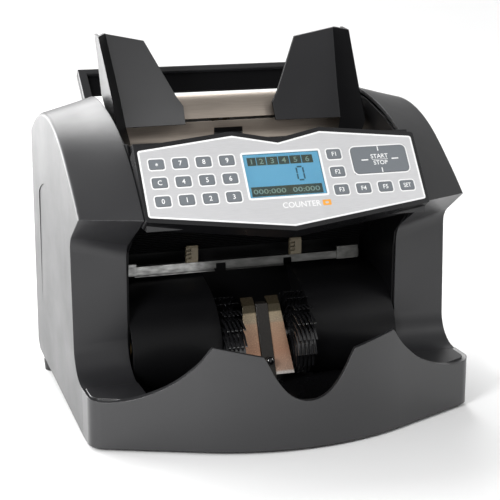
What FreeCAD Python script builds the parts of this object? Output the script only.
import FreeCAD, Part
import math
import os

from FreeCAD import Placement, Rotation, Vector

# Banknote counting machine, front friction-feed type, modelled in millimetres.
# +X is the operator's right, -Y is the front, +Z is up. The origin is on the surface
# that the rubber feet stand on, under the middle of the machine's bounding box.

doc = FreeCAD.newDocument("banknote_counter")

# ---------------------------------------------------------------- driving dimensions

DIMENSIONS = [
    ("body_width", 297.0), ("cheek_inner_width", 215.0), ("cover_wall", 2.8),
    ("front_reach", 135.0), ("rear_reach", 110.0), ("seam_reach", 63.0),
    ("skirt_clear", 2.5), ("lip_wall", 3.0), ("shelf_height", 38.5), ("corner_round", 12.0),
    ("pan_bottom", 8.5), ("pan_thickness", 3.0),
    ("cover_crown_round", 3.0), ("cover_inner_round", 1.0), ("arch_depth", 0.8),
    ("frame_inner_width", 211.2), ("frame_sheet", 1.5),
    ("tie_rod_radius", 4.0), ("tie_collar_radius", 6.0), ("tie_collar_length", 4.0),
    ("panel_tilt", 54.0), ("panel_front", 100.5), ("panel_height", 156.1),
    ("plate_thickness", 1.2), ("plate_half_width", 104.7), ("housing_half_width", 107.0),
    ("housing_rim", 0.3), ("housing_depth", 13.0), ("housing_wall", 2.2),
    ("key_width", 10.6), ("key_height", 7.4), ("key_thickness", 2.8), ("key_proud", 0.4),
    ("key_gap", 0.25), ("key_pitch_across", 17.2), ("key_pitch_up", 14.2),
    ("key_first_column", 92.4), ("key_first_row", 25.5),
    ("start_width", 43.4), ("start_height", 21.2), ("start_centre", 75.8), ("start_up", 47.5),
    ("display_width", 57.6), ("display_height", 33.7), ("display_centre", 0.2),
    ("display_up", 40.5), ("window_thickness", 1.0), ("module_thickness", 1.8),
    ("board_thickness", 1.6), ("board_drop", 3.3),
    ("sheet_metal", 1.2), ("cover_sheet", 2.0),
    ("drum_inner", 36.5),
    ("shaft_radius", 4.0), ("running_clearance", 0.05), ("bearing_radius", 8.0),
    ("bearing_width", 5.0), ("bearing_inset", 1.75),
    ("feed_roller_radius", 15.0), ("count_roller_radius", 12.0),
    ("feed_axis_y", 11.0), ("feed_axis_z", 172.5), ("count_axis_y", 29.0), ("count_axis_z", 132.5),
    ("stack_axis_y", -25.0), ("stack_axis_z", 52.5), ("motor_axis_y", 60.0), ("motor_axis_z", 99.0),
    ("pulley_radius", 14.0), ("stack_pulley_radius", 7.0), ("motor_pulley_radius", 9.0),
    ("pulley_flange", 0.7), ("flange_rise", 1.2), ("motor_radius", 21.0), ("motor_cap_radius", 17.0),
    ("motor_fin_rise", 1.4), ("motor_shaft_radius", 3.0),
    ("belt_width", 4.0), ("belt_thickness", 1.5), ("belt_fit", 0.02),
    ("wheel_radius", 32.0), ("wheel_inner", 20.8), ("wheel_hub", 10.0),
    ("wheel_disc", 1.6), ("wheel_pitch", 3.3),
    ("handle_half_width", 105.2), ("handle_axis_y", 88.0), ("handle_axis_z", 201.1),
    ("handle_arm", 59.13), ("handle_lean", 41.4), ("handle_pin_radius", 4.0), ("handle_arm_width", 6.5),
    ("guide_sheet", 2.6), ("guide_wall", 2.0), ("hopper_plate_half", 85.0),
    ("rack_module", 1.0), ("pinion_teeth", 16.0), ("pinion_axis_z", 208.9), ("pinion_width", 4.0),
    ("pinion_pin_radius", 2.0), ("rack_front", 76.0),
    ("foot_radius", 8.0), ("foot_height", 8.5), ("foot_taper", 0.8),
    ("screw_radius", 1.6), ("screw_head_radius", 3.2), ("screw_head_height", 1.6),
    ("knob_radius", 9.0), ("knob_height", 11.0),
    ("inlet_width", 27.4), ("switch_width", 13.0), ("switch_height", 19.4), ("switch_pin_radius", 1.2),
]

sheet = doc.addObject("Spreadsheet::Sheet", "Sizes")
for row, (alias, value) in enumerate(DIMENSIONS, start=1):
    sheet.set("A%d" % row, alias)
    sheet.set("B%d" % row, str(value))
    sheet.setAlias("B%d" % row, alias)
doc.recompute()
SIZE = {alias: float(sheet.get(alias)) for alias, _ in DIMENSIONS}

parts = []


def keep(item, label):
    """Marks an object as one of the machine's pieces and names it."""
    item.Label = label
    parts.append(item)
    return item


# ---------------------------------------------------------------- small helpers

def box(name, lengths, placement):
    """A Part::Box whose three lengths are expressions over the sheet."""
    item = doc.addObject("Part::Box", name)
    for prop, length in zip(("Length", "Width", "Height"), lengths):
        item.setExpression(prop, length)
    item.Placement = placement
    return item


def turned(name, radius, x_low, x_high, axis):
    """A Part::Cylinder along X between two planes; its radius is an expression over the sheet."""
    item = doc.addObject("Part::Cylinder", name)
    item.setExpression("Radius", radius)
    item.Height = x_high - x_low
    item.Placement = Placement(Vector(x_low, *axis), Rotation(Vector(0, 0, 1), Vector(1, 0, 0)))
    return item


def fused(name, items):
    item = doc.addObject("Part::MultiFuse", name)
    item.Shapes = items
    item.Refine = True
    return item


def bored(name, base, tool):
    item = doc.addObject("Part::Cut", name)
    item.Base = base
    item.Tool = tool
    return item


def grouped(name, items):
    item = doc.addObject("Part::Compound", name)
    item.Links = items
    return item


def feature(name, shape, placement=None):
    """A Part::Feature that holds a shape worked out with Part's own functions."""
    item = doc.addObject("Part::Feature", name)
    item.Shape = shape
    if placement is not None:
        item.Placement = placement
    return item


def solid_box(x_low, x_high, y_low, y_high, z_low, z_high):
    return Part.makeBox(x_high - x_low, y_high - y_low, z_high - z_low, Vector(x_low, y_low, z_low))


def rod(radius, start, end):
    line = end - start
    return Part.makeCylinder(radius, line.Length, start, line)


def spline(points):
    curve = Part.BSplineCurve()
    curve.interpolate(points)
    return curve.toShape()


def polygon_face(points):
    return Part.Face(Part.makePolygon(points + [points[0]]))


def side_prism(outline, x_low, x_high):
    """Extrudes a closed (y, z) outline along X."""
    face = polygon_face([Vector(x_low, y, z) for y, z in outline])
    return face.extrude(Vector(x_high - x_low, 0, 0))


def plan_prism(outline, z_low, z_high):
    """Extrudes a closed (x, y) outline along Z."""
    face = polygon_face([Vector(x, y, z_low) for x, y in outline])
    return face.extrude(Vector(0, 0, z_high - z_low))


def front_prism(wire, y_low, y_high):
    """Extrudes a closed wire drawn in the plane y = 0 along Y."""
    face = Part.Face(wire)
    face.translate(Vector(0, y_low, 0))
    return face.extrude(Vector(0, y_high - y_low, 0))


def mirrored(shape):
    return shape.mirror(Vector(0, 0, 0), Vector(1, 0, 0))


def union(shapes):
    return shapes[0].multiFuse(shapes[1:]).removeSplitter()


def bent_sheet(path, thickness, x_low, x_high):
    """A sheet-metal strip: an open (y, z) path thickened to one side, extruded along X."""
    sides = []
    for near, far in zip(path[:-1], path[1:]):
        along = Vector(0, far[0] - near[0], far[1] - near[1]).normalize()
        sides.append(Vector(0, -along.z, along.y))
    offsets = [sides[0]]
    for before, after in zip(sides[:-1], sides[1:]):
        middle = (before + after).normalize()
        offsets.append(middle * (1.0 / max(0.3, middle.dot(before))))
    offsets.append(sides[-1])
    front = [Vector(x_low, y, z) for y, z in path]
    back = [corner + offset * thickness for corner, offset in zip(front, offsets)]
    face = polygon_face(front + back[::-1])
    return face.extrude(Vector(x_high - x_low, 0, 0))


def curved_profile(path, thickness):
    """A smooth open (y, z) curve at x = 0, its offset to one side, and that offset's points."""
    near = spline([Vector(0, y, z) for y, z in path])
    steps = 4 * len(path)
    offset_points = []
    for step in range(steps + 1):
        place = near.FirstParameter + (near.LastParameter - near.FirstParameter) * step / steps
        along = near.tangentAt(place)
        offset_points.append(near.valueAt(place) + Vector(0, -along.z, along.y) * thickness)
    return near, spline(offset_points), offset_points


def curved_sheet(path, thickness, x_low, x_high):
    """A smoothly curved sheet: a (y, z) curve thickened to one side, extruded along X."""
    near, far, far_points = curved_profile(path, thickness)
    ends = [Part.makeLine(near.valueAt(near.LastParameter), far_points[-1]),
            Part.makeLine(far_points[0], near.valueAt(near.FirstParameter))]
    sheet_face = Part.Face(Part.Wire(Part.__sortEdges__([near, far] + ends)))
    sheet_face.translate(Vector(x_low, 0, 0))
    return sheet_face.extrude(Vector(x_high - x_low, 0, 0))


# ---------------------------------------------------------------- panel frame

PANEL = Placement(Vector(0, -SIZE["panel_front"], SIZE["panel_height"]),
                  Rotation(Vector(1, 0, 0), SIZE["panel_tilt"]))


def on_panel(x, up, out):
    """The control panel's own frame: x across, up along its slope, out of its face."""
    return Placement(PANEL.multVec(Vector(x, up, out)), PANEL.Rotation)


# ---------------------------------------------------------------- base tray with the front lip

SEAM_Y = -SIZE["seam_reach"]
HALF_WIDTH = SIZE["body_width"] / 2
LIP_ARC_HALF = 75.0
LIP_ARC_Y = -119.6
LIP_CORNER_Y = -88.0


def lip_plan(inset):
    """The front's plan outline as a closed wire: bowed middle, straight flanks, round corners."""
    side = HALF_WIDTH - inset
    apex = -SIZE["front_reach"] + inset
    knee = LIP_ARC_Y + inset * 1.09
    corner = LIP_CORNER_Y + inset * 1.51
    bow = Part.Arc(Vector(-LIP_ARC_HALF, knee, 0), Vector(0, apex, 0), Vector(LIP_ARC_HALF, knee, 0))
    points = [Vector(LIP_ARC_HALF, knee, 0), Vector(side, corner, 0), Vector(side, SEAM_Y, 0),
              Vector(-side, SEAM_Y, 0), Vector(-side, corner, 0), Vector(-LIP_ARC_HALF, knee, 0)]
    edges = [Part.makeLine(a, b) for a, b in zip(points[:-1], points[1:])]
    return Part.Wire([bow.toShape()] + edges)


def lip_block(inset, z_low, z_high):
    block = Part.Face(lip_plan(inset)).extrude(Vector(0, 0, z_high - z_low))
    block.translate(Vector(0, 0, z_low))
    corners = [edge for edge in block.Edges
               if abs(edge.tangentAt(edge.FirstParameter).z) > 0.99
               and abs(edge.CenterOfMass.y - LIP_CORNER_Y) < 6.0]
    return block.makeFillet(SIZE["corner_round"] - inset, corners)


def lip_outline():
    """The lip's top edge seen from the front: low corners, two peaks and a middle notch."""
    half = HALF_WIDTH + 2.0
    flank = [(half, 39.8), (140.0, 37.2), (129.0, 37.9), (116.0, 41.2), (105.0, 45.9),
             (93.0, 52.8), (83.0, 61.2), (75.0, 69.6), (70.0, 76.8)]
    notch = [(33.0, 70.0), (27.5, 59.4), (21.6, 50.2), (14.6, 42.7), (7.6, 38.8), (0.0, 37.5)]
    outer_peak = (68.0, 79.4)
    inner_peak = (34.4, 72.0)

    def lift(points, side=1):
        return [Vector(side * x, 0, z) for x, z in points]

    right = spline(lift(flank + [outer_peak]))
    left = spline(lift(flank + [outer_peak], -1))
    middle = spline(lift([inner_peak] + notch) + lift((notch[:-1])[::-1] + [inner_peak], -1))
    edges = [right, Part.makeLine(*lift([outer_peak, inner_peak])), middle,
             Part.makeLine(*lift([inner_peak, outer_peak], -1)), left]
    ends = lift([(half, 39.8), (half, -5.0)]) + lift([(half, -5.0), (half, 39.8)], -1)
    edges += [Part.makeLine(a, b) for a, b in zip(ends[:-1], ends[1:])]
    return Part.Wire(Part.__sortEdges__(edges))


def make_base_tray():
    wall = SIZE["lip_wall"]
    bottom = SIZE["skirt_clear"]
    pan_low = SIZE["pan_bottom"]
    pan_high = pan_low + SIZE["pan_thickness"]
    pocket_half = SIZE["cheek_inner_width"] / 2 - 0.5
    shelf_low = SIZE["shelf_height"] - 2.5
    skirt = lip_block(0, bottom, 90.0).cut(lip_block(wall, bottom - 1, 91.0))
    skirt = skirt.common(front_prism(lip_outline(), -140.0, -60.0))
    skirt = skirt.cut(solid_box(-HALF_WIDTH + wall, HALF_WIDTH - wall, SEAM_Y - wall, 0, 0, 91.0))
    pan_front = lip_block(wall - 0.2, pan_low, pan_high)
    inside = HALF_WIDTH - SIZE["cover_wall"] - 0.4
    pan_rear = solid_box(-inside, inside, SEAM_Y - 1, 106.6, pan_low, pan_high)
    pieces = [skirt, pan_front, pan_rear]
    for side in (-1, 1):
        low, high = sorted((side * inside, side * (inside - 2.0)))
        pieces.append(solid_box(low, high, SEAM_Y + 6.0, 106.6, pan_low, 34.0))
        inner, outer = sorted((side * pocket_half, side * (HALF_WIDTH - 1)))
        reach = solid_box(inner, outer, -140.0, SEAM_Y, shelf_low, SIZE["shelf_height"])
        pieces.append(lip_block(wall - 0.2, shelf_low, SIZE["shelf_height"]).common(reach))
        inner, outer = sorted((side * pocket_half, side * (pocket_half + 2.0)))
        web = solid_box(inner, outer, -140.0, SEAM_Y, pan_low, SIZE["shelf_height"])
        pieces.append(lip_block(wall - 0.2, pan_low, SIZE["shelf_height"]).common(web))
    return union(pieces)


keep(feature("BaseTray", make_base_tray()), "base_tray")


# ---------------------------------------------------------------- side covers

CHEEK_IN = SIZE["cheek_inner_width"] / 2
REAR_Y = SIZE["rear_reach"]
SHELF_Z = SIZE["shelf_height"]


def cheek_wire(x, pillar, round_start, nose, crown, brow, brow_round):
    """One side-view outline of a side cover at distance x from the middle.

    pillar and round_start give the upright's front face; nose is the overhanging front
    edge; crown runs over the top from the nose to the rear; brow is the corner between
    the nose's underside and the upright, rounded by brow_round.
    """
    def at(y, z):
        return Vector(x, y, z)

    seam = SEAM_Y + 0.1
    under = Vector(0, nose[0] - brow[0], nose[1] - brow[1]).normalize()
    down = Vector(0, pillar - brow[0], round_start - brow[1]).normalize()
    half_angle = 0.5 * math.acos(under.dot(down))
    reach = brow_round / math.tan(half_angle)
    brow_point = at(*brow)
    bisector = (under + down).normalize()
    middle = brow_point + bisector * (brow_round / math.sin(half_angle) - brow_round)
    start_under = brow_point + under * reach
    end_down = brow_point + down * reach
    radius_y = pillar - seam
    radius_z = round_start - SHELF_Z
    cove_middle = at(seam + radius_y * math.sin(math.pi / 4),
                     round_start - radius_z * math.cos(math.pi / 4))
    rear_top = crown[-1]
    edges = [
        Part.makeLine(at(seam, SIZE["skirt_clear"]), at(103.0, 16.5)),
        Part.makeLine(at(103.0, 16.5), at(REAR_Y, 23.5)),
        Part.makeLine(at(REAR_Y, 23.5), at(*rear_top)),
        spline([at(y, z) for y, z in [nose] + crown][::-1]),
        Part.makeLine(at(*nose), start_under),
        Part.Arc(start_under, middle, end_down).toShape(),
        Part.makeLine(end_down, at(pillar, round_start)),
        Part.Arc(at(pillar, round_start), cove_middle, at(seam, SHELF_Z)).toShape(),
        Part.makeLine(at(seam, SHELF_Z), at(seam, SIZE["skirt_clear"])),
    ]
    return Part.Wire(edges)


OUTER_CROWN = [(-53.0, 174.9), (-40.0, 184.5), (-7.0, 206.4), (22.0, 217.6), (51.0, 220.6),
               (78.0, 215.8), (REAR_Y, 201.0)]
INNER_CROWN = [(-79.0, 177.3), (-67.0, 187.9), (-37.6, 207.9), (-11.5, 219.2), (24.0, 228.0),
               (53.0, 231.0), (80.0, 227.0), (REAR_Y, 214.0)]


OUTER_SECTION = (-38.0, 63.5, (-67.0, 163.5), OUTER_CROWN, (-34.5, 141.5), 14.0)
INNER_SECTION = (-36.5, 63.9, (-91.2, 165.2), INNER_CROWN, (-36.5, 133.0), 18.0)


def hollow_section(x, pillar, round_start, nose, crown, brow, brow_round):
    """The inside of one section: the outline moved in by the wall, open below and at the seam."""
    wall = SIZE["cover_wall"]
    curve = Part.BSplineCurve()
    curve.interpolate([Vector(0, *nose)] + [Vector(0, y, z) for y, z in crown])
    inner_crown = []
    for y, z in crown[:-1]:
        along = curve.tangent(curve.parameter(Vector(0, y, z)))[0]
        inner_crown.append((y + along.z * wall, z - along.y * wall))
    inner_crown.append((REAR_Y - wall, crown[-1][1] - wall))
    brow_point = Vector(0, *brow)
    under = (Vector(0, *nose) - brow_point).normalize()
    down = (Vector(0, pillar, round_start) - brow_point).normalize()
    start = Vector(0, crown[0][0] - nose[0], crown[0][1] - nose[1]).normalize()
    nose_half_angle = 0.5 * math.acos(-start.dot(under))
    nose_in = Vector(0, *nose) + (start - under).normalize() * (wall / math.sin(nose_half_angle))
    half_angle = 0.5 * math.acos(under.dot(down))
    brow_in = brow_point - (under + down).normalize() * (wall / math.sin(half_angle))
    seam = SEAM_Y + 0.1
    reach = brow_round + wall
    setback = reach / math.tan(half_angle)
    middle = brow_in + (under + down).normalize() * (reach / math.sin(half_angle) - reach)
    radius_y = pillar + wall - seam
    radius_z = round_start - SHELF_Z + wall
    cove = Vector(0, seam + radius_y * math.sin(math.pi / 4),
                  round_start - radius_z * math.cos(math.pi / 4))
    corners = [Vector(0, seam - 2.0, -5.0), Vector(0, REAR_Y - wall, -5.0), Vector(0, *inner_crown[-1])]
    upright = Vector(0, pillar + wall, round_start)
    shelf = Vector(0, seam, SHELF_Z - wall)
    edges = [
        Part.makeLine(corners[0], corners[1]),
        Part.makeLine(corners[1], corners[2]),
        spline([nose_in] + [Vector(0, y, z) for y, z in inner_crown]),
        Part.makeLine(nose_in, brow_in + under * setback),
        Part.Arc(brow_in + under * setback, middle, brow_in + down * setback).toShape(),
        Part.makeLine(brow_in + down * setback, upright),
        Part.Arc(upright, cove, shelf).toShape(),
        Part.makeLine(shelf, shelf - Vector(0, 2.0, 0)),
        Part.makeLine(shelf - Vector(0, 2.0, 0), corners[0]),
    ]
    wire = Part.Wire(Part.__sortEdges__(edges))
    wire.translate(Vector(x, 0, 0))
    return wire


def crown_edges(shape, x):
    """The long edge over the top of a cover at distance x from the middle."""
    return [edge for edge in shape.Edges
            if abs(edge.CenterOfMass.x - x) < 0.2 and edge.CenterOfMass.z > 190 and edge.Length > 60]


ARCH_OUTLINE = [(83.0, 154.5), (61.0, 164.0), (37.0, 163.5), (8.0, 157.5), (-9.0, 151.5), (-19.0, 141.5)]
ARCH_FOOT_Z = 60.0
ARCH_TOP_Z = 170.0


def arch_recess():
    """A shallow arched hollow in the right cover's outer face that fades out downwards."""
    depth = SIZE["arch_depth"]
    top = spline([Vector(0, y, z) for y, z in ARCH_OUTLINE])
    rear, front = ARCH_OUTLINE[0], ARCH_OUTLINE[-1]
    corners = [Vector(0, *front), Vector(0, front[0], ARCH_FOOT_Z), Vector(0, rear[0], ARCH_FOOT_Z),
               Vector(0, *rear)]
    sides = [Part.makeLine(start, end) for start, end in zip(corners[:-1], corners[1:])]
    arch = Part.Face(Part.Wire(Part.__sortEdges__([top] + sides)))
    arch.translate(Vector(HALF_WIDTH - 5.0, 0, 0))
    arch = arch.extrude(Vector(10.0, 0, 0))
    outside = HALF_WIDTH + 2.0
    section = [(HALF_WIDTH, ARCH_FOOT_Z), (HALF_WIDTH - depth, ARCH_TOP_Z), (outside, ARCH_TOP_Z),
               (outside, ARCH_FOOT_Z)]
    wedge = polygon_face([Vector(x, -40.0, z) for x, z in section])
    return arch.common(wedge.extrude(Vector(0, 140.0, 0)))


def make_side_cover():
    """The right-hand cover: a moulded shell, open towards the machine, below and at its seam."""
    wall = SIZE["cover_wall"]
    skin = Part.makeLoft([cheek_wire(CHEEK_IN, *INNER_SECTION), cheek_wire(HALF_WIDTH, *OUTER_SECTION)],
                         True, True)
    skin = skin.makeFillet(SIZE["cover_crown_round"], crown_edges(skin, HALF_WIDTH))
    hollow = Part.makeLoft([hollow_section(CHEEK_IN - 0.01, *INNER_SECTION),
                            hollow_section(HALF_WIDTH, *OUTER_SECTION)], True, True)
    hollow = hollow.common(solid_box(0, HALF_WIDTH - wall, -120.0, 120.0, -20.0, 240.0))
    hollow = hollow.makeFillet(SIZE["cover_inner_round"], crown_edges(hollow, HALF_WIDTH - wall))
    return skin.cut(hollow).cut(arch_recess())


cover_shape = make_side_cover()
keep(feature("RightSideCover", cover_shape), "right_side_cover")
keep(feature("LeftSideCover", mirrored(cover_shape)), "left_side_cover")

# ---------------------------------------------------------------- side frames of folded steel

FRAME_IN = SIZE["frame_inner_width"] / 2
PAN_TOP = SIZE["pan_bottom"] + SIZE["pan_thickness"]
SHAFTS = [(SIZE["feed_axis_y"], SIZE["feed_axis_z"]), (SIZE["count_axis_y"], SIZE["count_axis_z"]),
          (SIZE["stack_axis_y"], SIZE["stack_axis_z"])]
MOTOR = (SIZE["motor_axis_y"], SIZE["motor_axis_z"])
HANDLE_AXIS = (SIZE["handle_axis_y"], SIZE["handle_axis_z"])


def make_frame_plate():
    """The right-hand frame plate; its front edge passes behind the control panel housing."""
    outline = [(-34.6, PAN_TOP), (-34.6, 114.0), (-37.0, 130.0), (-56.0, 147.0), (-79.5, 160.5),
               (-43.4, 210.0), (-29.0, 208.5), (-11.5, 215.5), (24.0, 224.5), (53.0, 227.5),
               (78.0, 223.5), (104.0, 206.0), (104.0, 26.0), (98.0, PAN_TOP + 8.0), (90.0, PAN_TOP)]
    plate = side_prism(outline, FRAME_IN, FRAME_IN + SIZE["frame_sheet"])
    holes = [rod(SIZE["bearing_radius"], Vector(FRAME_IN - 5, y, z), Vector(FRAME_IN + 5, y, z))
             for y, z in SHAFTS]
    holes.append(rod(7.0, Vector(FRAME_IN - 5, *MOTOR), Vector(FRAME_IN + 5, *MOTOR)))
    stub_end = SIZE["handle_half_width"] - SIZE["handle_arm_width"] - 1.5
    pin = SIZE["handle_pin_radius"]
    stub = rod(pin, Vector(stub_end, *HANDLE_AXIS), Vector(FRAME_IN + 0.5, *HANDLE_AXIS))
    rivet = rod(pin + 2.5, Vector(stub_end - 1.6, *HANDLE_AXIS), Vector(stub_end + 0.4, *HANDLE_AXIS))
    foot = solid_box(FRAME_IN - 11.0, FRAME_IN + 0.2, -20.0, 86.0, PAN_TOP, PAN_TOP + SIZE["frame_sheet"])
    return union([plate.cut(Part.makeCompound(holes)), stub, rivet, foot])


frame_shape = make_frame_plate()
keep(feature("RightFrame", frame_shape), "right_frame_plate")
keep(feature("LeftFrame", mirrored(frame_shape)), "left_frame_plate")


TIE_RODS = [(92.0, 60.0), (72.0, 165.0), (-22.0, 162.0)]


def make_tie_rods():
    """Three steel rods hold the two frame plates apart, with a turned shoulder at each end."""
    rods = []
    for number, axis in enumerate(TIE_RODS, start=1):
        name = "TieRod%d" % number
        collar_inner = FRAME_IN - SIZE["tie_collar_length"]
        rods.append(fused(name, [
            turned(name + "Bar", "Sizes.tie_rod_radius", -FRAME_IN, FRAME_IN, axis),
            turned(name + "LeftCollar", "Sizes.tie_collar_radius", -FRAME_IN, -collar_inner, axis),
            turned(name + "RightCollar", "Sizes.tie_collar_radius", collar_inner, FRAME_IN, axis),
        ]))
    return grouped("TieRods", rods)


keep(make_tie_rods(), "tie_rods")


# ---------------------------------------------------------------- control panel

PLATE_HALF = SIZE["plate_half_width"]
PLATE_OUTLINE = [(0.0, 0.0), (PLATE_HALF, 14.0), (PLATE_HALF, 65.0), (33.5, 73.0), (0.0, 65.5)]
RIM_OUTLINE = [(0.0, -3.6), (SIZE["housing_half_width"], 10.8), (SIZE["housing_half_width"], 68.0),
               (34.0, 76.4), (0.0, 68.9)]


def grown(corners, distance):
    """Moves each side of a closed outline outward by distance, keeping the corners sharp."""
    moved = []
    for before, corner, after in zip(corners[-1:] + corners[:-1], corners, corners[1:] + corners[:1]):
        first = (corner - before).normalize()
        second = (after - corner).normalize()
        normals = [Vector(side.y, -side.x, 0) for side in (first, second)]
        middle = (normals[0] + normals[1]).normalize()
        moved.append(corner + middle * (distance / middle.dot(normals[0])))
    return moved


def panel_wire(outline, growth=0.0):
    """Mirrors a right-half outline given from the bottom middle to the top middle."""
    right = [Vector(x, up, 0) for x, up in outline]
    left = [Vector(-x, up, 0) for x, up in outline[1:-1]][::-1]
    corners = grown(right + left, growth)
    return Part.makePolygon(corners + corners[:1])


def panel_slab(outline, low, high, growth=0.0, corner=0.0):
    slab = Part.Face(panel_wire(outline, growth)).extrude(Vector(0, 0, high - low))
    slab.translate(Vector(0, 0, low))
    if corner:
        posts = [edge for edge in slab.Edges
                 if abs(edge.tangentAt(edge.FirstParameter).z) > 0.99
                 and abs(edge.CenterOfMass.x) > 90]
        slab = slab.makeFillet(corner, posts)
    return slab


def make_housing():
    """The panel's moulded housing: a V-shaped rim over a straight-bottomed box."""
    wall = SIZE["housing_wall"]
    rim = SIZE["housing_rim"]
    depth = SIZE["housing_depth"]
    head = panel_slab(RIM_OUTLINE, -depth, rim, corner=2.0)
    head = head.cut(panel_slab(PLATE_OUTLINE, -SIZE["plate_thickness"], rim + 1, 0.2, 2.2))
    opening = Part.makeBox(200.0, 50.0, depth + 5, Vector(-100.0, 15.0, -depth - 3))
    head = head.cut(opening)
    head.Placement = PANEL
    profile = [(-89.5, 156.7), (-89.5, 167.4), (-53.5, 212.2), (-36.0, 206.0), (-31.0, 193.0), (-31.0, 156.7)]
    inner = [(-89.5 + wall, 156.7 + wall), (-89.5 + wall, 166.6), (-53.0, 209.0), (-37.8, 203.6),
             (-31.0 - wall, 192.4), (-31.0 - wall, 156.7 + wall)]
    reach = FRAME_IN - 0.2
    shell = side_prism(profile, -reach, reach).cut(side_prism(inner, -reach + wall, reach - wall))
    well = Part.makeBox(200.0, 50.0, depth + 12, Vector(-100.0, 15.0, -depth - 10))
    well.Placement = PANEL
    recess = panel_slab(PLATE_OUTLINE, -SIZE["plate_thickness"], rim + 20, 0.2, 2.2)
    recess.Placement = PANEL
    return union([head, shell.cut(well).cut(recess)])


keep(feature("PanelHousing", make_housing()), "panel_housing")

KEY_ROWS = [SIZE["key_first_row"] + n * SIZE["key_pitch_up"] for n in range(3)]
KEY_COLUMNS = [SIZE["key_first_column"] - n * SIZE["key_pitch_across"] for n in range(4)]
NUMBER_KEYS = [["key_0", "key_1", "key_2", "key_3"], ["key_clear", "key_4", "key_5", "key_6"],
               ["key_star", "key_7", "key_8", "key_9"]]
RIGHT_COLUMN = KEY_COLUMNS[3]
FUNCTION_KEYS = {"key_f1": (RIGHT_COLUMN, KEY_ROWS[2]), "key_f2": (RIGHT_COLUMN, KEY_ROWS[1]),
                 "key_f3": (RIGHT_COLUMN, KEY_ROWS[0]), "key_f4": (KEY_COLUMNS[2], KEY_ROWS[0]),
                 "key_f5": (KEY_COLUMNS[1], KEY_ROWS[0]), "key_set": (KEY_COLUMNS[0], KEY_ROWS[0])}
KEY_PLACES = {name: (-KEY_COLUMNS[column], KEY_ROWS[row])
              for row, names in enumerate(NUMBER_KEYS) for column, name in enumerate(names)}
KEY_PLACES.update(FUNCTION_KEYS)


def key_window(x, up, width, height):
    gap = SIZE["key_gap"]
    return Part.makeBox(width + 2 * gap, height + 2 * gap, 10.0,
                        Vector(x - width / 2 - gap, up - height / 2 - gap, -5.0))


def make_control_plate():
    """The silver plate, with a window for each key and for the display."""
    plate = panel_slab(PLATE_OUTLINE, -SIZE["plate_thickness"], 0.0, corner=2.0)
    windows = [key_window(x, up, SIZE["key_width"], SIZE["key_height"]) for x, up in KEY_PLACES.values()]
    for name in ("start", "display"):
        windows.append(key_window(*[SIZE[name + part] for part in ("_centre", "_up", "_width", "_height")]))
    return plate.cut(Part.makeCompound(windows))


keep(feature("ControlPlate", make_control_plate(), PANEL), "control_plate")


def add_key(name, x, up, width, height, corner):
    """A sprung key: a PartDesign pad in the panel's frame with rounded upright edges."""
    body = doc.addObject("PartDesign::Body", name)
    plane = [item for item in body.Origin.OriginFeatures if item.Role == "XY_Plane"][0]
    sketch = body.newObject("Sketcher::SketchObject", name + "_outline")
    sketch.AttachmentSupport = [(plane, "")]
    sketch.MapMode = "FlatFace"
    half_x = width / 2
    half_y = height / 2
    corners = [(-half_x, -half_y), (half_x, -half_y), (half_x, half_y), (-half_x, half_y)]
    for start, end in zip(corners, corners[1:] + corners[:1]):
        sketch.addGeometry(Part.LineSegment(Vector(*start, 0), Vector(*end, 0)))
    pad = body.newObject("PartDesign::Pad", name + "_pad")
    pad.Profile = sketch
    pad.setExpression("Length", "Sizes.key_thickness")
    doc.recompute()
    upright = ["Edge%d" % (n + 1) for n, edge in enumerate(pad.Shape.Edges)
               if abs(edge.tangentAt(edge.FirstParameter).z) > 0.99]
    rounding = body.newObject("PartDesign::Fillet", name + "_corners")
    rounding.Base = (pad, upright)
    rounding.Radius = corner
    body.Tip = rounding
    body.Placement = on_panel(x, up, SIZE["key_proud"] - SIZE["key_thickness"])
    return keep(body, name)


for key_name, (key_x, key_up) in KEY_PLACES.items():
    add_key(key_name, key_x, key_up, SIZE["key_width"], SIZE["key_height"], 1.3)
add_key("key_start_stop", SIZE["start_centre"], SIZE["start_up"], SIZE["start_width"],
        SIZE["start_height"], 3.5)

DISPLAY = (SIZE["display_centre"] - SIZE["display_width"] / 2,
           SIZE["display_up"] - SIZE["display_height"] / 2)
keep(box("DisplayWindow", ("Sizes.display_width", "Sizes.display_height", "Sizes.window_thickness"),
         on_panel(*DISPLAY, -SIZE["window_thickness"])), "display_window")
keep(box("DisplayModule", ("Sizes.display_width", "Sizes.display_height", "Sizes.module_thickness"),
         on_panel(*DISPLAY, -SIZE["board_drop"] + 0.1)), "display_module")


def make_keypad_board():
    """The printed board behind the keys, with a row of chips on its back."""
    back = -SIZE["board_drop"] - SIZE["board_thickness"]
    chip_height = 1.6
    board = Part.makeBox(198.0, 48.0, SIZE["board_thickness"], Vector(-99.0, 16.0, back))
    chips = [Part.makeBox(12.0, 9.0, chip_height, Vector(x, 34.0, back - chip_height))
             for x in (-70.0, -30.0, 10.0, 50.0)]
    return union([board] + chips)


keep(feature("KeypadBoard", make_keypad_board(), PANEL), "keypad_board")


# ---------------------------------------------------------------- hopper

SLIT_Z = 208.9
BACK_PLATE_Y = 54.0


def make_upper_plate():
    """The hopper's upper back plate leans back and curls over; it is narrower above its foot."""
    path = [(BACK_PLATE_Y + 0.4, SLIT_Z + 1.4), (55.8, 213.0), (58.4, 217.0), (62.5, 221.5), (67.0, 224.9),
            (71.0, 226.5), (74.5, 226.3)]
    foot_top = 214.0
    half = SIZE["hopper_plate_half"]
    plate = curved_sheet(path, -SIZE["sheet_metal"], -FRAME_IN, FRAME_IN)
    keep_low = solid_box(-FRAME_IN, FRAME_IN, 40.0, 90.0, 200.0, foot_top)
    keep_middle = solid_box(-half, half, 40.0, 90.0, 200.0, 240.0)
    return plate.common(keep_low.fuse(keep_middle))


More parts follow.
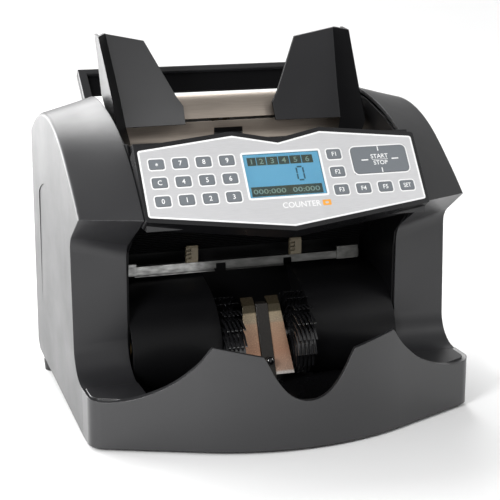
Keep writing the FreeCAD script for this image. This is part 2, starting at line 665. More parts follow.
def make_lower_plate():
    """The lower back plate drops to the feed rollers and turns forward under the notes."""
    path = [(BACK_PLATE_Y, SLIT_Z - 0.9), (BACK_PLATE_Y, 203.0), (53.9, 198.0), (52.3, 193.0), (48.0, 189.5),
            (41.0, 188.0), (30.0, 187.0)]
    plate = curved_sheet(path, SIZE["sheet_metal"], -FRAME_IN, FRAME_IN)
    return plate.cut(solid_box(-12.0, 12.0, 50.0, 60.0, 196.5, 202.5))


keep(feature("UpperPlate", make_upper_plate()), "hopper_upper_plate")
keep(feature("LowerPlate", make_lower_plate()), "hopper_lower_plate")


def gear_outline(teeth, module, backlash):
    """An involute gear's outline, 20 degree pressure angle, first tooth along +X."""
    pitch = teeth * module / 2
    base = pitch * math.cos(math.radians(20))
    tip = pitch + 0.9 * module
    root = pitch - 1.2 * module
    half_tooth = math.pi / (2 * teeth) - backlash / (2 * pitch)
    involute_at_pitch = math.tan(math.radians(20)) - math.radians(20)
    flank = []
    for step in range(6):
        radius = base + (tip - base) * step / 5
        pressure = math.acos(min(1.0, base / radius))
        angle = half_tooth + involute_at_pitch - (math.tan(pressure) - pressure)
        flank.append((radius, angle))
    points = []
    for tooth in range(teeth):
        turn = 2 * math.pi * tooth / teeth
        profile = [(root, -flank[0][1])] + [(radius, -angle) for radius, angle in flank]
        profile += [(radius, angle) for radius, angle in flank[::-1]] + [(root, flank[0][1])]
        points += [(radius * math.cos(turn + angle), radius * math.sin(turn + angle))
                   for radius, angle in profile]
    return points


PITCH_RADIUS = SIZE["rack_module"] * SIZE["pinion_teeth"] / 2
RACK_Y = SIZE["rack_front"]
PINION_Z = SIZE["pinion_axis_z"]


def make_pinion():
    """The gear that makes the two note guides move together; its axis runs along Y."""
    outline = gear_outline(int(SIZE["pinion_teeth"]), SIZE["rack_module"], 0.16)
    face = polygon_face([Vector(x, 0, z) for x, z in outline])
    gear = face.extrude(Vector(0, SIZE["pinion_width"], 0))
    bore = rod(SIZE["pinion_pin_radius"] + SIZE["running_clearance"], Vector(0, -1, 0), Vector(0, 8, 0))
    gear = gear.cut(bore)
    gear.translate(Vector(0, RACK_Y, PINION_Z))
    return gear


keep(feature("GuidePinion", make_pinion()), "guide_pinion")


def rack_bar(start, end, phase):
    """A toothed bar above the pinion, teeth down; phase places one gap's middle at x = phase."""
    pitch = math.pi * SIZE["rack_module"]
    addendum = 0.85 * SIZE["rack_module"]
    slope = math.tan(math.radians(20))
    half = pitch / 4 - 0.08
    line = PITCH_RADIUS
    top = line + 6.0
    points = [(start, top)]
    first = math.ceil((start - phase) / pitch - 0.5) + 1
    last = math.floor((end - phase) / pitch - 0.5) - 1
    root = line + 1.2 * SIZE["rack_module"]
    tip = line - addendum
    points.append((start, root))
    for number in range(first, last + 1):
        middle = phase + (number + 0.5) * pitch
        points += [(middle - half - 1.2 * slope, root), (middle - half + addendum * slope, tip),
                   (middle + half - addendum * slope, tip), (middle + half + 1.2 * slope, root)]
    points += [(end, root), (end, top)]
    face = polygon_face([Vector(x, 0, z) for x, z in points])
    bar = face.extrude(Vector(0, SIZE["pinion_width"], 0))
    bar.translate(Vector(0, RACK_Y, PINION_Z))
    return bar


def warped_panel(corners, thickness):
    """A thin four-cornered panel that may be warped: its front corners, thickened to the rear."""
    low_left, low_right, high_right, high_left = corners
    rear = Vector(0, thickness, 0)
    rings = []
    for left, right in ((low_left, low_right), (high_left, high_right)):
        rings.append(Part.makePolygon([left, right, right + rear, left + rear, left]))
    return Part.makeLoft(rings, True, True)


# The right guide's blade from its foot up: inner corner, outer corner, the flange's reach
# (outward, forward) and the depth of the outer wall that runs back from the flange's edge.
GUIDE_ROWS = [
    (Vector(37.7, 46.7, 207.4), Vector(90.0, 34.7, 209.1), (10.6, 22.7), 21.0),
    (Vector(37.2, 53.9, 220.7), Vector(91.0, 41.4, 222.0), (9.8, 21.6), 30.0),
    (Vector(42.3, 56.9, 228.6), Vector(91.7, 46.4, 231.5), (9.1, 20.8), 37.0),
    (Vector(63.3, 74.4, 270.8), Vector(96.5, 70.1, 277.8), (7.0, 13.0), 13.4),
]
GUIDE_FOOT = (Vector(86.0, 32.6, 192.0), (8.4, 18.0), 12.0)
GUIDE_TOP_DROP = 1.3


def flange_ring(corner, outward, forward, depth, slope):
    """One level of the flange and outer wall: an L-shaped ring that slopes down to the front."""
    wall = SIZE["guide_wall"]
    root = corner + Vector(-1.6, 0.4, 0)
    outer_root = root + Vector(wall, 0.6, 0)
    tip = corner + Vector(outward, -forward, 0)
    along = tip - root
    bend = outer_root + along * ((tip.x - wall - outer_root.x) / along.x)
    rear = Vector(0, depth, 0)
    ring = [root, tip, tip + rear, tip + rear - Vector(wall, 0, 0), bend, outer_root]
    ring = [place - Vector(0, 0, slope * (corner.y - place.y)) for place in ring]
    return Part.makePolygon(ring + ring[:1])


def guide_blade():
    """The right guide's leaning face, its forward flange, outer wall and tongue through the slit."""
    pieces = []
    for low, high in zip(GUIDE_ROWS[:-1], GUIDE_ROWS[1:]):
        pieces.append(warped_panel([low[0], low[1], high[1], high[0]], SIZE["guide_sheet"]))
    rings = [flange_ring(GUIDE_FOOT[0], *GUIDE_FOOT[1], GUIDE_FOOT[2], 0.0)]
    for row in GUIDE_ROWS[:-1]:
        rings.append(flange_ring(row[1], *row[2], row[3], 0.0))
    top = GUIDE_ROWS[-1]
    rings.append(flange_ring(top[1], *top[2], top[3], GUIDE_TOP_DROP / top[2][1]))
    pieces.append(Part.makeLoft(rings, True, True))
    pieces.append(plan_prism([(52.0, 45.2), (82.0, 37.8), (82.0, RACK_Y + 4.0), (52.0, RACK_Y + 4.0)],
                             SLIT_Z - 0.6, SLIT_Z + 0.6))
    return pieces


def rack_arm(x_low, x_high, z_low, z_high):
    return solid_box(x_low, x_high, RACK_Y, RACK_Y + SIZE["pinion_width"], z_low, z_high)


def make_right_guide():
    """The right guide's rack passes under the pinion."""
    rack = rack_bar(-60.0, 10.0, 0.0)
    rack.rotate(Vector(0, 0, PINION_Z), Vector(0, 1, 0), 180)
    arm = rack_arm(52.0, 60.0, PINION_Z - PITCH_RADIUS - 6.0, SLIT_Z + 0.6)
    return union(guide_blade() + [arm, rack])


def make_left_guide():
    """The left guide is the right one's mirror image, with its rack over the pinion."""
    rack = rack_bar(-60.0, 10.0, 0.0)
    arm = rack_arm(-60.0, -52.0, SLIT_Z - 0.6, PINION_Z + PITCH_RADIUS + 6.0)
    return union([mirrored(shape) for shape in guide_blade()] + [arm, rack])


keep(feature("RightGuide", make_right_guide()), "right_hopper_guide")
keep(feature("LeftGuide", make_left_guide()), "left_hopper_guide")


def make_rack_bracket():
    """A steel strip behind the racks, wider at its foot, with the pinion's pin and its head."""
    back = RACK_Y + SIZE["pinion_width"] + 0.6
    pin = SIZE["pinion_pin_radius"]
    strip = solid_box(-93.0, 93.0, back, back + 1.5, 180.0, 224.0)
    foot = solid_box(-FRAME_IN, FRAME_IN, back, back + 1.5, 176.0, 192.0)
    shank = rod(pin, Vector(0, RACK_Y - 1.0, PINION_Z), Vector(0, back + 1.0, PINION_Z))
    head = rod(pin + 1.2, Vector(0, RACK_Y - 1.2, PINION_Z), Vector(0, RACK_Y - 0.2, PINION_Z))
    return union([strip, foot, shank, head])


keep(feature("RackBracket", make_rack_bracket()), "rack_bracket")


# ---------------------------------------------------------------- carry handle

def make_handle():
    """A U-shaped handle, drawn with its arms along +Y from the pivot, then leaned back."""
    half = SIZE["handle_half_width"]
    arm_width = SIZE["handle_arm_width"]
    tip = SIZE["handle_arm"]
    grip = solid_box(-half, half, tip - 5.8, tip, -5.0, 5.0)
    grip = grip.makeFillet(1.6, [edge for edge in grip.Edges if abs(edge.tangentAt(0).x) > 0.99])
    web = solid_box(-half + 1, half - 1, tip - 25.0, tip - 5.0, -1.2, 1.2)
    pieces = [grip, web]
    for side in (-1, 1):
        low, high = sorted((side * half, side * (half - arm_width)))
        pieces.append(side_prism([(0.0, -4.0), (tip - 1.0, -5.0), (tip - 1.0, 5.0), (0.0, 6.0)], low, high))
        pieces.append(rod(7.0, Vector(low, 0, 0), Vector(high, 0, 0)))
    handle = union(pieces)
    bore = rod(SIZE["handle_pin_radius"] + SIZE["running_clearance"], Vector(-half - 1, 0, 0),
               Vector(half + 1, 0, 0))
    handle = handle.cut(bore)
    handle.rotate(Vector(0, 0, 0), Vector(1, 0, 0), SIZE["handle_lean"])
    handle.translate(Vector(0, *HANDLE_AXIS))
    return handle


keep(feature("CarryHandle", make_handle()), "carry_handle")


# ---------------------------------------------------------------- note throat and stacker pocket

BAR_FRONT_Y = 10.0
BAR_TOP_Z = 105.0


def make_exit_bar():
    """The bright bar over the note exit, with a lowered middle tab and a stop at each end."""
    bar = bent_sheet([(BAR_FRONT_Y, 99.0), (BAR_FRONT_Y + 0.4, BAR_TOP_Z), (BAR_FRONT_Y + 4.4, BAR_TOP_Z)],
                     -SIZE["sheet_metal"], -96.0, 96.0)
    notches = [solid_box(low, high, 5.0, BAR_FRONT_Y + 3.0, 95.0, 103.0)
               for low, high in ((-24.5, -16.5), (31.5, 38.5))]
    bar = bar.cut(Part.makeCompound(notches))
    tab = bent_sheet([(8.8, 97.4), (9.6, 98.6), (BAR_FRONT_Y, 100.6), (BAR_FRONT_Y + 0.4, 104.6)],
                     -SIZE["sheet_metal"], -16.5, 31.5)
    ledge = solid_box(-90.0, -26.0, 8.6, 13.0, 97.2, 98.0)
    ledge_web = solid_box(-90.0, -26.0, 10.6, 12.0, 97.2, 100.0)
    left_stop = solid_box(-96.0, -89.0, 8.4, 12.0, 98.5, 107.7)
    right_stop = solid_box(77.0, 95.0, 9.4, 12.0, 98.4, 108.9)
    return union([bar, tab, ledge, ledge_web, left_stop, right_stop])


keep(feature("ExitBar", make_exit_bar()), "exit_bar")

BAFFLE_LOW = Vector(0, 24.0, 112.0)
BAFFLE_HIGH = Vector(0, -25.0, 152.5)
BACK_SHEET_Y = 31.0
RIB_PITCH = 3.2
RIB_WIDTH = 1.2
RIB_HEIGHT = 1.6


def make_throat_baffle():
    """The black guide sheets above and behind the note exit; ribs run across the upper one."""
    upper = bent_sheet([(BAFFLE_LOW.y, BAFFLE_LOW.z), (BAFFLE_HIGH.y, BAFFLE_HIGH.z)],
                       -SIZE["cover_sheet"], -FRAME_IN, FRAME_IN)
    along = (BAFFLE_HIGH - BAFFLE_LOW).normalize()
    out = Vector(0, -along.z, along.y)
    ribs = []
    for number in range(11):
        start = BAFFLE_LOW + along * (3.0 + RIB_PITCH * number)
        end = start + along * RIB_WIDTH
        ring = [start, end, end + out * RIB_HEIGHT, start + out * RIB_HEIGHT]
        ribs.append(side_prism([(corner.y, corner.z) for corner in ring], -FRAME_IN + 6.0, FRAME_IN - 6.0))
    lower = solid_box(-FRAME_IN, FRAME_IN, BACK_SHEET_Y, BACK_SHEET_Y + SIZE["cover_sheet"], 60.0, 119.0)
    return Part.makeCompound([union([upper] + ribs), lower])


keep(feature("ThroatBaffle", make_throat_baffle()), "throat_baffle")


def make_pinch_holders():
    """Two small ribbed holders that stand on the exit bar and press the note rollers down."""
    holders = []
    half = 4.5
    for centre in (-44.5, 41.0):
        block = side_prism([(BAR_FRONT_Y - 3.0, BAR_TOP_Z + 1.2), (BAR_FRONT_Y + 0.6, BAR_TOP_Z),
                            (BAR_FRONT_Y + 2.0, BAR_TOP_Z), (BAR_FRONT_Y + 2.0, 117.0), (9.6, 119.3),
                            (7.6, 119.3), (BAR_FRONT_Y - 3.0, 117.4)], centre - half, centre + half)
        grooves = [solid_box(centre - half - 1, centre - 1.0, 5.0, 9.0, z, z + 1.9)
                   for z in (109.0, 112.0, 115.0)]
        holders.append(block.cut(Part.makeCompound(grooves)))
    return Part.makeCompound(holders)


keep(feature("PinchHolders", make_pinch_holders()), "pinch_holders")

DRUM_OUTLINE = [(18.0, 93.6), (6.0, 92.4), (-6.0, 89.2), (-22.0, 82.5), (-34.0, 71.5), (-41.0, 60.5),
                (-43.6, 49.0), (-42.4, 37.5), (-37.0, 27.8), (-31.0, 21.5)]


def make_drum_cover():
    """The right-hand rounded cover behind the stacked notes, closed at its inner end."""
    wall = SIZE["cover_sheet"]
    span = FRAME_IN - SIZE["drum_inner"]
    skin = curved_sheet(DRUM_OUTLINE, -wall, 0, span)
    inner, inner_points = curved_profile(DRUM_OUTLINE, -wall)[1:]
    end = Part.Face(Part.Wire([inner, Part.makeLine(inner_points[-1], inner_points[0])]))
    end = end.extrude(Vector(wall, 0, 0))
    hole = rod(SIZE["shaft_radius"] + 1.5, Vector(-5, *SHAFTS[2]), Vector(5, *SHAFTS[2]))
    cover = union([skin, end.cut(hole)])
    cover.translate(Vector(SIZE["drum_inner"], 0, 0))
    return cover


drum_shape = make_drum_cover()
keep(feature("RightDrumCover", drum_shape), "right_drum_cover")
keep(feature("LeftDrumCover", mirrored(drum_shape)), "left_drum_cover")

STRIP_TOP = (-27.0, 77.5)
STRIP_FOOT = (-48.5, 27.5)
STRIP_INNER_X = 5.2
STRIP_TOP_X = 15.0
STRIP_FOOT_X = 20.0
KEEL_HALF = 4.8


def make_pocket_floor():
    """The black pocket floor rises to the lip; a raised rib carries the note sensor."""
    path = [(-26.0, 17.0), (-77.0, 15.5), (-100.0, 19.0), (-118.0, 27.0), (-130.0, 35.0)]
    floor = bent_sheet(path, -SIZE["cover_sheet"], -FRAME_IN, FRAME_IN)
    floor = floor.common(lip_block(SIZE["lip_wall"] + 0.4, 0, 60.0).fuse(
        solid_box(-FRAME_IN, FRAME_IN, SEAM_Y - 0.5, 0, 0, 60.0)))
    keel = side_prism([(STRIP_TOP[0] - 0.6, STRIP_TOP[1] + 1.0), (STRIP_FOOT[0] - 1.2, STRIP_FOOT[1]),
                       (-54.0, 17.0), (-40.0, 17.0), (-43.5, 24.5), (-21.0, 78.5)], -KEEL_HALF, KEEL_HALF)
    sensor = rod(3.4, Vector(0, -42.0, 36.5), Vector(0, -50.0, 39.5))
    return union([floor, keel, sensor])


keep(feature("PocketFloor", make_pocket_floor()), "pocket_floor")


def make_centre_strip():
    """The right-hand bright slanted strip beside the rib, wider at its foot, turned back on top."""
    thickness = SIZE["sheet_metal"]
    along = Vector(0, STRIP_TOP[0] - STRIP_FOOT[0], STRIP_TOP[1] - STRIP_FOOT[1]).normalize()
    back = Vector(0, along.z, -along.y) * thickness
    face = polygon_face([Vector(STRIP_INNER_X, *STRIP_FOOT), Vector(STRIP_FOOT_X, *STRIP_FOOT),
                         Vector(STRIP_TOP_X, *STRIP_TOP), Vector(STRIP_INNER_X, *STRIP_TOP)])
    crest = bent_sheet([STRIP_TOP, (STRIP_TOP[0] + 6.0, STRIP_TOP[1] + 5.0)], -thickness,
                       STRIP_INNER_X, STRIP_TOP_X)
    return union([face.extrude(back), crest])


strip_shape = make_centre_strip()
keep(feature("CentreStrips", Part.makeCompound([strip_shape, mirrored(strip_shape)])), "centre_strips")


# ---------------------------------------------------------------- shafts, wheels, belts and motor

BELT_PLANES = {"motor": 112.0, "feed": 118.0, "stack": 124.0}
BORE_FIT = SIZE["running_clearance"]


def across(x_low, x_high, axis, radius):
    return rod(radius, Vector(x_low, *axis), Vector(x_high, *axis))


def pulley(name, plane, axis, radius):
    """The cylinders of a flat-belt pulley: its rim and a thin flange at each side of the belt."""
    low = BELT_PLANES[plane]
    high = low + SIZE["belt_width"]
    flange = SIZE["pulley_flange"]
    risen = radius + " + Sizes.flange_rise"
    return [turned(name + "Rim", radius, low - 0.1, high + 0.1, axis),
            turned(name + "InnerFlange", risen, low - 0.1 - flange, low - 0.1, axis),
            turned(name + "OuterFlange", risen, high + 0.1, high + 0.1 + flange, axis)]


def roller_shaft(name, axis, rollers, roller_radius, pulleys, end):
    """A steel shaft with rubber rollers between the frames and its pulleys outside them."""
    pieces = [turned(name + "Core", "Sizes.shaft_radius", -FRAME_IN - 3.5, end, axis)]
    for number, (centre, width) in enumerate(rollers, start=1):
        pieces.append(turned("%sRoller%d" % (name, number), roller_radius,
                             centre - width / 2, centre + width / 2, axis))
    for plane, radius in pulleys:
        pieces += pulley(name + plane.title() + "Pulley", plane, axis, radius)
    return fused(name, pieces)


FEED_ROLLERS = [(-33.0, 16.0), (33.0, 16.0)]
COUNT_ROLLERS = [(-78.0, 12.0), (-33.0, 16.0), (33.0, 16.0), (78.0, 12.0)]
FEED_SHAFT_END = 123.5
STACK_SHAFT_END = 129.5
keep(roller_shaft("FeedShaft", SHAFTS[0], FEED_ROLLERS, "Sizes.feed_roller_radius",
                  [("feed", "Sizes.pulley_radius")], FEED_SHAFT_END), "feed_roller_shaft")
keep(roller_shaft("CountShaft", SHAFTS[1], COUNT_ROLLERS, "Sizes.count_roller_radius",
                  [("motor", "Sizes.pulley_radius"), ("feed", "Sizes.pulley_radius"),
                   ("stack", "Sizes.stack_pulley_radius")], STACK_SHAFT_END), "count_roller_shaft")
keep(roller_shaft("StackShaft", SHAFTS[2], [], "", [("stack", "Sizes.stack_pulley_radius")],
                  STACK_SHAFT_END), "stacker_shaft")

FINGER_COUNT = 16
FINGER_SWEEP = 62.0
FINGER_ROOT = 1.7
FINGER_TIP = 0.9
DISC_COUNT = 5


def finger_outline():
    """One curved finger as a closed (y, z) outline round the wheel's axis, thinner at its tip."""
    hub = SIZE["wheel_hub"] - 1.0
    steps = 5
    leading, trailing = [], []
    for step in range(steps + 1):
        share = step / steps
        radius = hub + (SIZE["wheel_radius"] - hub) * share
        angle = math.radians(FINGER_SWEEP) * share ** 1.3
        width = FINGER_ROOT + (FINGER_TIP - FINGER_ROOT) * share
        behind = angle + width / radius
        leading.append((radius * math.cos(angle), radius * math.sin(angle)))
        trailing.append((radius * math.cos(behind), radius * math.sin(behind)))
    return leading + trailing[::-1]


def make_stacker_wheels():
    """Two wheels of thin finger discs that slow the notes and stand them up."""
    thickness = SIZE["wheel_disc"]
    finger = side_prism(finger_outline(), 0, thickness)
    origin = Vector(0, 0, 0)
    pieces = [rod(SIZE["wheel_hub"], origin, Vector(thickness, 0, 0))]
    for number in range(FINGER_COUNT):
        turned_finger = finger.copy()
        turned_finger.rotate(origin, Vector(1, 0, 0), 360.0 * number / FINGER_COUNT)
        pieces.append(turned_finger)
    disc = union(pieces)
    width = SIZE["wheel_pitch"] * (DISC_COUNT - 1) + thickness
    discs = []
    for number in range(DISC_COUNT):
        placed = disc.copy()
        placed.translate(Vector(SIZE["wheel_pitch"] * number, 0, 0))
        discs.append(placed)
    hub = rod(SIZE["wheel_hub"] - 2.0, origin, Vector(width, 0, 0))
    bore = rod(SIZE["shaft_radius"], Vector(-1, 0, 0), Vector(width + 1, 0, 0))
    wheel = union([hub] + discs).cut(bore)
    wheels = []
    for start in (SIZE["wheel_inner"], -SIZE["wheel_inner"] - width):
        placed = wheel.copy()
        placed.translate(Vector(start, *SHAFTS[2]))
        wheels.append(placed)
    return Part.makeCompound(wheels)


keep(feature("StackerWheels", make_stacker_wheels()), "stacker_wheels")


def make_bearings():
    """A plain bush in each frame plate for each of the three shafts."""
    inset = FRAME_IN - SIZE["bearing_inset"]
    bushes = []
    for number, axis in enumerate(SHAFTS, start=1):
        for side, start in (("Right", inset), ("Left", -inset - SIZE["bearing_width"])):
            end = start + SIZE["bearing_width"]
            name = "%sBush%d" % (side, number)
            ring = turned(name + "Ring", "Sizes.bearing_radius", start, end, axis)
            bore = turned(name + "Bore", "Sizes.shaft_radius + Sizes.running_clearance",
                          start - 1, end + 1, axis)
            bushes.append(bored(name, ring, bore))
    return grouped("ShaftBearings", bushes)


keep(make_bearings(), "shaft_bearings")

MOTOR_CAP_X = 42.0
MOTOR_CAN_X = 46.0
MOTOR_FIN_WIDTH = 1.6


def make_motor():
    """The drive motor: a finned can against the right frame plate, with a bored nose."""
    pieces = [turned("MotorCan", "Sizes.motor_radius", MOTOR_CAN_X, FRAME_IN, MOTOR),
              turned("MotorCap", "Sizes.motor_cap_radius", MOTOR_CAP_X, MOTOR_CAN_X, MOTOR)]
    for number in range(6):
        low = 56.0 + 6.0 * number
        pieces.append(turned("MotorFin%d" % (number + 1), "Sizes.motor_radius + Sizes.motor_fin_rise",
                             low, low + MOTOR_FIN_WIDTH, MOTOR))
    nose = turned("MotorNose", "Sizes.motor_shaft_radius + Sizes.running_clearance",
                  90.0, FRAME_IN + 1, MOTOR)
    return bored("DriveMotor", fused("MotorBody", pieces), nose)


keep(make_motor(), "drive_motor")
keep(fused("MotorPulley", [turned("MotorShaft", "Sizes.motor_shaft_radius", 91.0, 117.0, MOTOR)]
           + pulley("MotorPulleyBody", "motor", MOTOR, "Sizes.motor_pulley_radius")), "motor_pulley")


def belt_ring(first, first_radius, second, second_radius, growth):
    """The outline of a belt run round two pulleys, grown by growth, as a face at x = 0."""
    line = Vector(0, second[0] - first[0], second[1] - first[1])
    along = Vector(line).normalize()
    side = Vector(0, -along.z, along.y)
    sine = (first_radius - second_radius) / line.Length
    cosine = math.sqrt(1 - sine * sine)
    touch = []
    for sign in (1, -1):
        normal = along * sine + side * (sign * cosine)
        touch.append((Vector(0, *first) + normal * (first_radius + growth),
                      Vector(0, *second) + normal * (second_radius + growth)))
    far_second = Vector(0, *second) + along * (second_radius + growth)
    far_first = Vector(0, *first) - along * (first_radius + growth)
    edges = [Part.makeLine(touch[0][0], touch[0][1]),
             Part.Arc(touch[0][1], far_second, touch[1][1]).toShape(),
             Part.makeLine(touch[1][1], touch[1][0]),
             Part.Arc(touch[1][0], far_first, touch[0][0]).toShape()]
    return Part.Face(Part.Wire(edges))


def belt(plane, first, first_radius, second, second_radius):
    fit = SIZE["belt_fit"]
    outer = belt_ring(first, first_radius, second, second_radius, fit + SIZE["belt_thickness"])
    inner = belt_ring(first, first_radius, second, second_radius, fit)
    width = SIZE["belt_width"] - 0.2
    loop = outer.cut(inner).extrude(Vector(width, 0, 0))
    loop.translate(Vector(BELT_PLANES[plane] + 0.1, 0, 0))
    return loop


def make_belts():
    drive = SIZE["pulley_radius"]
    stack = SIZE["stack_pulley_radius"]
    return Part.makeCompound([
        belt("motor", MOTOR, SIZE["motor_pulley_radius"], SHAFTS[1], drive),
        belt("feed", SHAFTS[1], drive, SHAFTS[0], drive),
        belt("stack", SHAFTS[1], stack, SHAFTS[2], stack),
    ])


keep(feature("DriveBelts", make_belts()), "drive_belts")


# ---------------------------------------------------------------- rear cover, electrics and feet

REAR_FACE = 106.0
INLET_X = -60.0
SWITCH_X = -33.5
ELECTRIC_Z = 42.0
ROCKER_AXIS = (102.0, ELECTRIC_Z)
REAR_SCREWS = [(-100.0, 20.0), (100.0, 20.0), (-100.0, 117.0), (100.0, 117.0), (-70.0, 182.0), (70.0, 182.0)]


def make_rear_cover():
    """The rear cover: a flat lower panel and a narrower upper box that clears the handle."""
    wall = 2.5
    lower = solid_box(-FRAME_IN, FRAME_IN, REAR_FACE - wall, REAR_FACE, PAN_TOP, 127.5)
    upper = solid_box(-96.5, 96.5, 84.0, REAR_FACE, 125.0, 192.5)
    hollow = solid_box(-96.5 + wall, 96.5 - wall, 83.0, REAR_FACE - wall, 120.0, 192.5 - wall)
    ledges = [solid_box(low, high, 84.0, REAR_FACE, 125.0, 127.5)
              for low, high in ((-FRAME_IN, -94.0), (94.0, FRAME_IN))]
    cover = union([lower, upper.cut(hollow)] + ledges)
    slots = [solid_box(x, x + 2.2, REAR_FACE - 5, REAR_FACE + 1, 84.0, 112.0)
             for x in [10.0 + 5.5 * n for n in range(12)]]
    holes = [rod(SIZE["screw_radius"] + 0.1, Vector(x, REAR_FACE - 5, z), Vector(x, REAR_FACE + 1, z))
             for x, z in REAR_SCREWS]
    window = solid_box(INLET_X - SIZE["inlet_width"] / 2 - 0.2, SWITCH_X + SIZE["switch_width"] / 2 + 1.8,
                       REAR_FACE - 5, REAR_FACE + 1, ELECTRIC_Z - 11.0, ELECTRIC_Z + 11.0)
    knob_hole = rod(3.0 + BORE_FIT, Vector(0, 94.0, 180.0), Vector(0, 94.0, 200.0))
    return cover.cut(Part.makeCompound(slots + holes + [window, knob_hole]))


keep(feature("RearCover", make_rear_cover()), "rear_cover")


def make_inlet():
    """The mains inlet and the switch frame in one moulding, with three contact pins."""
    left = INLET_X - SIZE["inlet_width"] / 2
    right = SWITCH_X + SIZE["switch_width"] / 2 + 1.6
    body = solid_box(left, right, 86.0, REAR_FACE + 0.5, ELECTRIC_Z - 10.8, ELECTRIC_Z + 10.8)
    flange = solid_box(left - 2.5, right + 2.5, REAR_FACE, REAR_FACE + 2.0,
                       ELECTRIC_Z - 13.5, ELECTRIC_Z + 13.5)
    flange = flange.makeFillet(2.0, [edge for edge in flange.Edges if edge.Length < 2.1])
    cavity = solid_box(INLET_X - 12.0, INLET_X + 12.0, 90.0, REAR_FACE + 3,
                       ELECTRIC_Z - 8.2, ELECTRIC_Z + 8.2)
    cavity = cavity.makeChamfer(4.5, [edge for edge in cavity.Edges
                                      if abs(edge.CenterOfMass.z - ELECTRIC_Z - 8.2) < 0.1
                                      and abs(abs(edge.CenterOfMass.x - INLET_X) - 12.0) < 0.1])
    switch_well = solid_box(SWITCH_X - SIZE["switch_width"] / 2, SWITCH_X + SIZE["switch_width"] / 2, 93.0,
                            REAR_FACE + 3, ELECTRIC_Z - SIZE["switch_height"] / 2,
                            ELECTRIC_Z + SIZE["switch_height"] / 2)
    pins = []
    for x, z in ((-7.0, -1.0), (0.0, 2.6), (7.0, -1.0)):
        pins.append(solid_box(INLET_X + x - 1.0, INLET_X + x + 1.0, 89.0, 101.0,
                              ELECTRIC_Z + z - 2.4, ELECTRIC_Z + z + 2.4))
    pivot = across(SWITCH_X - 7.3, SWITCH_X + 7.3, ROCKER_AXIS, SIZE["switch_pin_radius"] + BORE_FIT)
    moulding = union([body, flange]).cut(Part.makeCompound([cavity, switch_well, pivot]))
    return union([moulding] + pins)


keep(feature("PowerInlet", make_inlet()), "power_inlet")
ROCKER_TILT = 8.0


def make_rocker():
    """The rocker switch, tilted to its off side; it turns about an axis along X."""
    half = SIZE["switch_height"] / 2 - 0.9
    profile = [(-3.0, -4.0), (1.0, -half), (5.0, -half), (4.0, 0.0), (5.0, half), (1.0, half), (-3.0, 4.0)]
    width = SIZE["switch_width"] - 0.6
    rocker = side_prism(profile, SWITCH_X - width / 2, SWITCH_X + width / 2)
    pin = across(SWITCH_X - 7.1, SWITCH_X + 7.1, (0.0, 0.0), SIZE["switch_pin_radius"])
    rocker = union([rocker, pin])
    rocker.rotate(Vector(0, 0, 0), Vector(1, 0, 0), -ROCKER_TILT)
    rocker.translate(Vector(0, *ROCKER_AXIS))
    return rocker


keep(feature("PowerSwitch", make_rocker()), "power_switch")


def make_gap_knob():
    """The knurled knob that sets the feed gap, on a stem through the rear cover's top."""
    radius = SIZE["knob_radius"]
    top = 193.0 + SIZE["knob_height"]
    head = rod(radius, Vector(0, 94.0, 193.0), Vector(0, 94.0, top))
    head = head.makeChamfer(1.2, [edge for edge in head.Edges if abs(edge.CenterOfMass.z - top) < 0.01
                                  and edge.Length > 40])
    flutes = []
    for number in range(18):
        angle = 2 * math.pi * number / 18
        place = Vector((radius + 0.5) * math.cos(angle), 94.0 + (radius + 0.5) * math.sin(angle), 192.0)
        flutes.append(rod(1.1, place, place + Vector(0, 0, 20)))
    stem = rod(3.0, Vector(0, 94.0, 178.0), Vector(0, 94.0, 194.0))
    return union([head.cut(Part.makeCompound(flutes)), stem])


keep(feature("GapKnob", make_gap_knob()), "gap_knob")


def make_main_board():
    """The control board on the rear, with chips, capacitors and connectors on its inner face."""
    board = solid_box(-92.0, 34.0, 99.0, 100.6, 68.0, 121.0)
    chip_places = [(-80.0, 92.0, 16.0, 16.0), (-50.0, 88.0, 22.0, 9.0), (-50.0, 104.0, 14.0, 8.0),
                   (-14.0, 78.0, 30.0, 7.0), (-14.0, 108.0, 24.0, 6.0)]
    chips = [solid_box(x, x + wide, 97.4, 99.2, z, z + tall) for x, z, wide, tall in chip_places]
    cans = [rod(4.0, Vector(x, 99.2, 78.0), Vector(x, 86.0, 78.0)) for x in (-84.0, -72.0, -60.0)]
    return union([board] + chips + cans)


keep(feature("MainBoard", make_main_board()), "main_board")


def make_power_supply():
    """The mains transformer: a laminated core with a winding bobbin and mounting feet."""
    core = solid_box(-96.0, -48.0, 30.0, 62.0, PAN_TOP + 1.5, 55.0)
    winding = solid_box(-88.0, -56.0, 22.0, 70.0, 20.0, 48.0)
    winding = winding.makeFillet(5.0, [edge for edge in winding.Edges if abs(edge.tangentAt(0).z) > 0.99])
    feet = solid_box(-92.0, -52.0, 20.0, 72.0, PAN_TOP, PAN_TOP + 1.6)
    return union([core, winding, feet])


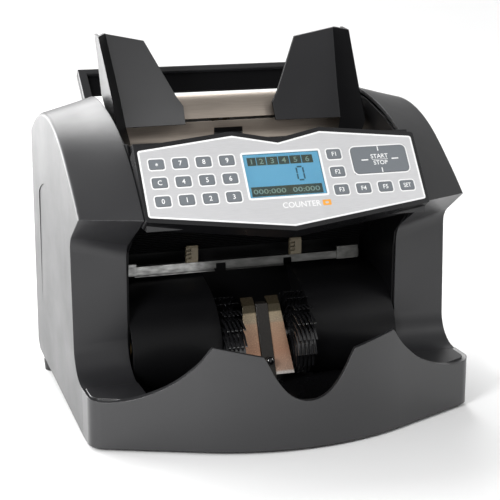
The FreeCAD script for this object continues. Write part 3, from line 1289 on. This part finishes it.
keep(feature("PowerSupply", make_power_supply()), "power_supply")


FOOT_PLACES = [(-126.0, -60.0), (126.0, -60.0), (-138.5, 98.0), (138.5, 98.0)]


def make_feet():
    """Four rubber feet under the tray, a little narrower at the ground."""
    feet = []
    for number, (x, y) in enumerate(FOOT_PLACES, start=1):
        foot = doc.addObject("Part::Cone", "RubberFoot%d" % number)
        foot.setExpression("Radius1", "Sizes.foot_radius - Sizes.foot_taper")
        foot.setExpression("Radius2", "Sizes.foot_radius")
        foot.setExpression("Height", "Sizes.foot_height")
        foot.Placement = Placement(Vector(x, y, 0), Rotation())
        feet.append(foot)
    return grouped("RubberFeet", feet)


keep(make_feet(), "rubber_feet")


def make_screws():
    """The rear cover's screws: domed cross-recessed heads on plain shanks."""
    screws = []
    for x, z in REAR_SCREWS:
        base = Vector(x, REAR_FACE, z)
        crest = REAR_FACE + SIZE["screw_head_height"]
        head = rod(SIZE["screw_head_radius"], base, Vector(x, crest, z))
        head = head.makeFillet(0.7, [edge for edge in head.Edges
                                     if abs(edge.CenterOfMass.y - crest) < 0.01 and edge.Length > 15])
        shank = rod(SIZE["screw_radius"], base + Vector(0, 0.1, 0), base - Vector(0, 3.6, 0))
        across_slot = solid_box(x - 1.9, x + 1.9, REAR_FACE + 0.8, REAR_FACE + 3, z - 0.35, z + 0.35)
        up_slot = solid_box(x - 0.35, x + 0.35, REAR_FACE + 0.8, REAR_FACE + 3, z - 1.9, z + 1.9)
        screws.append(union([head, shank]).cut(across_slot).cut(up_slot))
    return Part.makeCompound(screws)


keep(feature("CaseScrews", make_screws()), "case_screws")


# ---------------------------------------------------------------- checks and export

doc.recompute()
failed = [item.Label for item in doc.Objects if {"Invalid", "Error"} & set(item.State)]
failed += [item.Label for item in parts if item.Shape.isNull() or not item.Shape.isValid()]
if failed:
    raise SystemExit("failed objects: " + ", ".join(failed))

os.makedirs("parts", exist_ok=True)
for item in parts:
    item.Shape.exportStep(os.path.join("parts", item.Label + ".step"))
print(len(parts), "pieces written")
